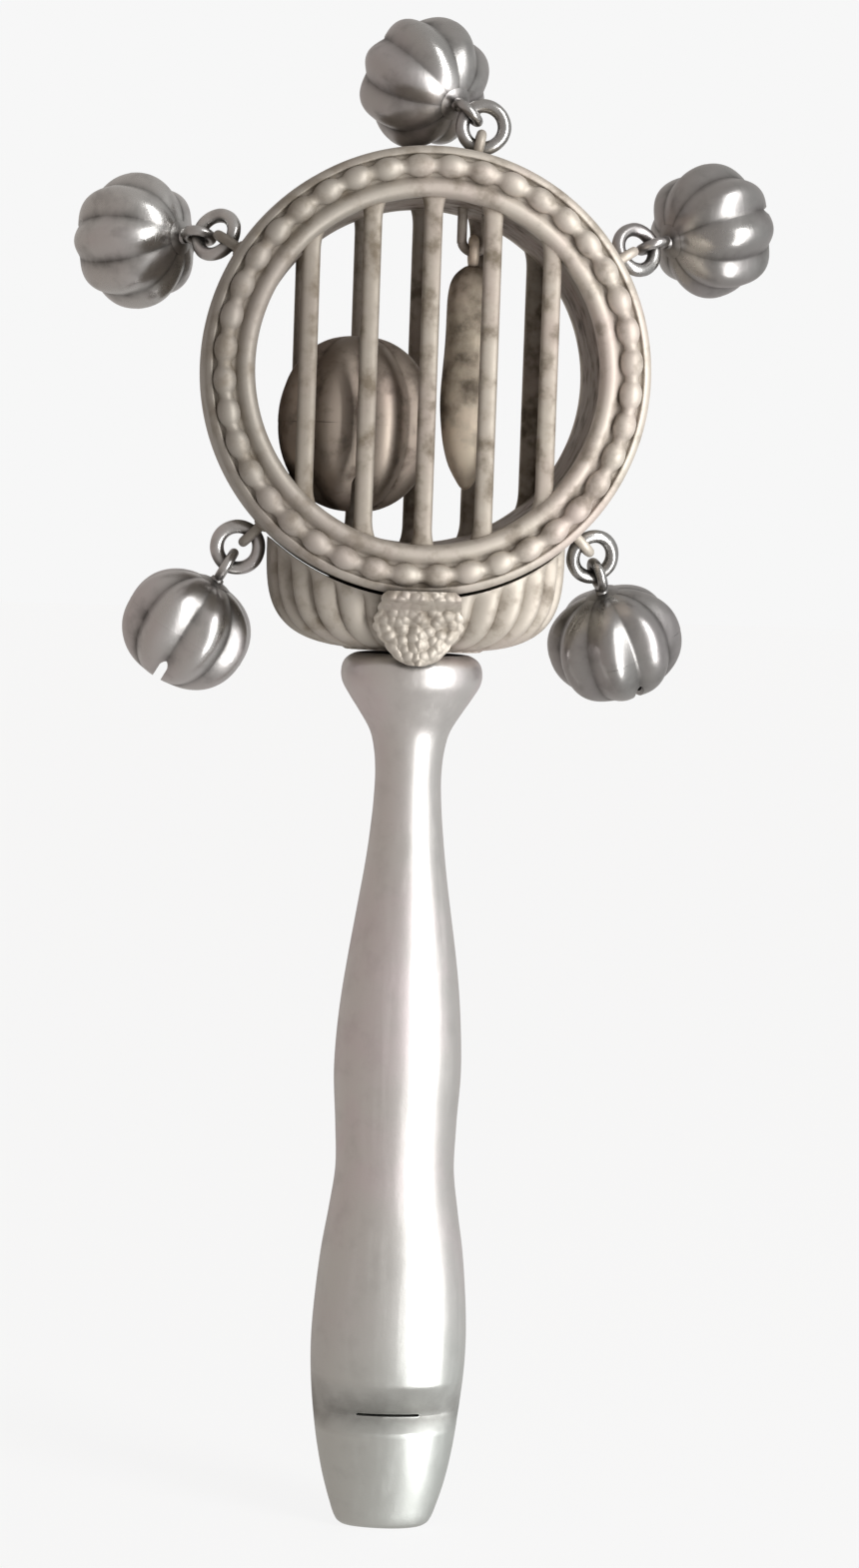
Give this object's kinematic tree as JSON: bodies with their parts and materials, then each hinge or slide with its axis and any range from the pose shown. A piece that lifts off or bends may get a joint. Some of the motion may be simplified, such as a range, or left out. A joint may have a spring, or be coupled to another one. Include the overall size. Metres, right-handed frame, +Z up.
{
  "type": "baby rattle",
  "caption": "Silver whistle rattle: a round barred cage with a loose bell and a drop inside, lobed jingle bells hung round it on jump rings, and a hollow handle ending in a whistle.",
  "frame": {"origin": "middle of the mouthpiece's flat end, at the bottom of the handle", "axes": "+Z up the handle to the cage and the top bell, +Y from the front to the back along the cage's axis, +X to the right seen from the front"},
  "size_m": [0.0706, 0.0249, 0.1529],
  "materials": {
    "handle_silver": "satin polished silver with faint scuffs",
    "bell_silver": "polished silver, darker in the valleys between the lobes",
    "cage_silver": "worn silver with warm brown tarnish in the recesses",
    "dark_silver": "dull silver, heavily tarnished brown"
  },
  "bodies": {
    "rattle_frame": {"cage_band": "cage_silver", "cage_liner": "dark_silver", "front_rim": "cage_silver", "back_rim": "cage_silver", "front_bead_wire": "cage_silver", "back_bead_wire": "cage_silver", "front_bar_1": "cage_silver", "front_bar_2": "cage_silver", "front_bar_3": "cage_silver", "front_bar_4": "cage_silver", "front_bar_5": "cage_silver", "back_bar_1": "cage_silver", "back_bar_2": "cage_silver", "back_bar_3": "cage_silver", "back_bar_4": "cage_silver", "back_bar_5": "cage_silver", "lug_top": "cage_silver", "lug_upper_left": "cage_silver", "lug_lower_left": "cage_silver", "lug_lower_right": "cage_silver", "lug_upper_right": "cage_silver", "drop_staple": "cage_silver", "cup_collar": "cage_silver", "leaf_ornament": "cage_silver", "neck_stud": "handle_silver", "handle_front_shell": "handle_silver", "handle_back_shell": "handle_silver", "whistle_block": "handle_silver", "chamber_stop": "dark_silver"},
    "jump_ring_top": {"jump_ring_top": "bell_silver"},
    "bell_top": {"bell_loop_top": "bell_silver", "bell_crown_top": "bell_silver", "bell_mouth_top": "bell_silver"},
    "pellet_top": {"bell_pellet_top": "dark_silver"},
    "jump_ring_upper_left": {"jump_ring_upper_left": "bell_silver"},
    "bell_upper_left": {"bell_loop_upper_left": "bell_silver", "bell_crown_upper_left": "bell_silver", "bell_mouth_upper_left": "bell_silver"},
    "pellet_upper_left": {"bell_pellet_upper_left": "dark_silver"},
    "jump_ring_lower_left": {"jump_ring_lower_left": "bell_silver"},
    "bell_lower_left": {"bell_loop_lower_left": "bell_silver", "bell_crown_lower_left": "bell_silver", "bell_mouth_lower_left": "bell_silver"},
    "pellet_lower_left": {"bell_pellet_lower_left": "dark_silver"},
    "jump_ring_lower_right": {"jump_ring_lower_right": "bell_silver"},
    "bell_lower_right": {"bell_loop_lower_right": "bell_silver", "bell_crown_lower_right": "bell_silver", "bell_mouth_lower_right": "bell_silver"},
    "pellet_lower_right": {"bell_pellet_lower_right": "dark_silver"},
    "jump_ring_upper_right": {"jump_ring_upper_right": "bell_silver"},
    "bell_upper_right": {"bell_loop_upper_right": "bell_silver", "bell_crown_upper_right": "bell_silver", "bell_mouth_upper_right": "bell_silver"},
    "pellet_upper_right": {"bell_pellet_upper_right": "dark_silver"},
    "cage_bell": {"cage_bell_crown": "dark_silver", "cage_bell_mouth": "dark_silver"},
    "cage_bell_pellet": {"cage_bell_pellet": "dark_silver"},
    "drop": {"drop_clapper": "dark_silver"}
  },
  "joints": [
    {"name": "ring_flap_top", "type": "hinge", "parent": "rattle_frame", "child": "jump_ring_top", "pos_m": [0.00481, 0, 0.13944], "axis": [0.9781, 0, -0.2079], "range_deg": [-1, 51]},
    {"name": "bell_slide_top", "type": "hinge", "parent": "jump_ring_top", "child": "bell_top", "pos_m": [0.00525, 0.00011, 0.1415], "axis": [0.0109, -0.9986, 0.0512], "range_deg": [-105, 1]},
    {"name": "pellet_roll_top", "type": "slide", "parent": "bell_top", "child": "pellet_top", "axis": [-0.5333, 0.7246, 0.4365], "range_m": [-0.003, 0.003]},
    {"name": "ring_flap_upper_left", "type": "hinge", "parent": "rattle_frame", "child": "jump_ring_upper_left", "pos_m": [-0.01963, 0, 0.12907], "axis": [0.5299, 0, 0.848], "range_deg": [-7, 89]},
    {"name": "bell_slide_upper_left", "type": "hinge", "parent": "jump_ring_upper_left", "child": "bell_upper_left", "pos_m": [-0.02098, 0.00138, 0.12991], "axis": [-0.5564, -0.7547, 0.3477], "range_deg": [-89, 31]},
    {"name": "pellet_roll_upper_left", "type": "slide", "parent": "bell_upper_left", "child": "pellet_upper_left", "axis": [-0.8167, 0.5738, -0.0614], "range_m": [-0.003, 0.003]},
    {"name": "ring_flap_lower_left", "type": "hinge", "parent": "rattle_frame", "child": "jump_ring_lower_left", "pos_m": [-0.01637, 0, 0.10043], "axis": [-0.7071, 0, 0.7071], "range_deg": [-42, 54]},
    {"name": "bell_slide_lower_left", "type": "hinge", "parent": "jump_ring_lower_left", "child": "bell_lower_left", "pos_m": [-0.01785, 0.00022, 0.09895], "axis": [-0.0739, -0.9945, -0.0739], "range_deg": [-75, 6]},
    {"name": "pellet_roll_lower_left", "type": "slide", "parent": "bell_lower_left", "child": "pellet_lower_left", "axis": [-0.4963, 0.101, -0.8623], "range_m": [-0.003, 0.003]},
    {"name": "ring_flap_lower_right", "type": "hinge", "parent": "rattle_frame", "child": "jump_ring_lower_right", "pos_m": [0.01651, 0, 0.10057], "axis": [-0.7009, 0, -0.7133], "range_deg": [-22, 60]},
    {"name": "bell_slide_lower_right", "type": "hinge", "parent": "jump_ring_lower_right", "child": "bell_lower_right", "pos_m": [0.0179, 0.00079, 0.09921], "axis": [0.2672, -0.9272, -0.2626], "range_deg": [-2, 85]},
    {"name": "pellet_roll_lower_right", "type": "slide", "parent": "bell_lower_right", "child": "pellet_lower_right", "axis": [0.3031, 0.3395, -0.8904], "range_m": [-0.003, 0.003]},
    {"name": "ring_flap_upper_right", "type": "hinge", "parent": "rattle_frame", "child": "jump_ring_upper_right", "pos_m": [0.01963, 0, 0.12907], "axis": [0.5299, 0, -0.848], "range_deg": [-18, 78]},
    {"name": "bell_slide_upper_right", "type": "hinge", "parent": "jump_ring_upper_right", "child": "bell_upper_right", "pos_m": [0.02117, 0.00105, 0.13003], "axis": [0.424, -0.866, 0.265], "range_deg": [-47, 73]},
    {"name": "pellet_roll_upper_right", "type": "slide", "parent": "bell_upper_right", "child": "pellet_upper_right", "axis": [0.8348, 0.4872, 0.2564], "range_m": [-0.003, 0.003]},
    {"name": "cage_bell_roll", "type": "hinge", "parent": "rattle_frame", "child": "cage_bell", "pos_m": [0, 0, 0.1168], "axis": [0, 1, 0], "range_deg": [-1, 62]},
    {"name": "cage_pellet_slide", "type": "slide", "parent": "cage_bell", "child": "cage_bell_pellet", "axis": [0, 0, 1], "range_m": [-0.0045, 0.0045]},
    {"name": "drop_swing", "type": "hinge", "parent": "rattle_frame", "child": "drop", "pos_m": [0.0047, 0, 0.129], "axis": [1, 0, 0], "range_deg": [-13, 13]}
  ]
}
